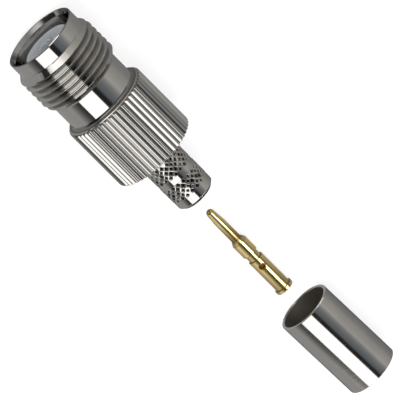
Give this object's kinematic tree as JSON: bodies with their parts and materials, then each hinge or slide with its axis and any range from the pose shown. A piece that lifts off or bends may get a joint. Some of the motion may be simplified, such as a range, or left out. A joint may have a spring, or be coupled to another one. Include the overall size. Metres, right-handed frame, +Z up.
{
  "type": "tnc connector",
  "caption": "Threaded coaxial jack with a knurled barrel and crimp stub, with its loose centre contact and crimp ferrule lying in line behind it.",
  "frame": {"origin": "on the table under the middle of the kit, halfway between the mouth's lip and the far end of the ferrule", "axes": "+X along the kit towards the connector's mouth, +Z up from the table that the three separate pieces lie on, +Y to the left seen from behind the mouth"},
  "size_m": [0.061, 0.0114, 0.0113],
  "materials": {
    "shell_nickel": "bright nickel plating on turned brass",
    "post_nickel": "bright nickel plating on turned and knurled brass",
    "ferrule_nickel": "bright nickel plating on drawn copper alloy tube",
    "contact_gold": "gold plating on turned brass",
    "insulator_ptfe": "turned white PTFE"
  },
  "bodies": {
    "root": {"connector_shell": "shell_nickel", "insulator": "insulator_ptfe", "crimp_post": "post_nickel", "centre_contact": "contact_gold", "crimp_ferrule": "ferrule_nickel"}
  },
  "joints": []
}
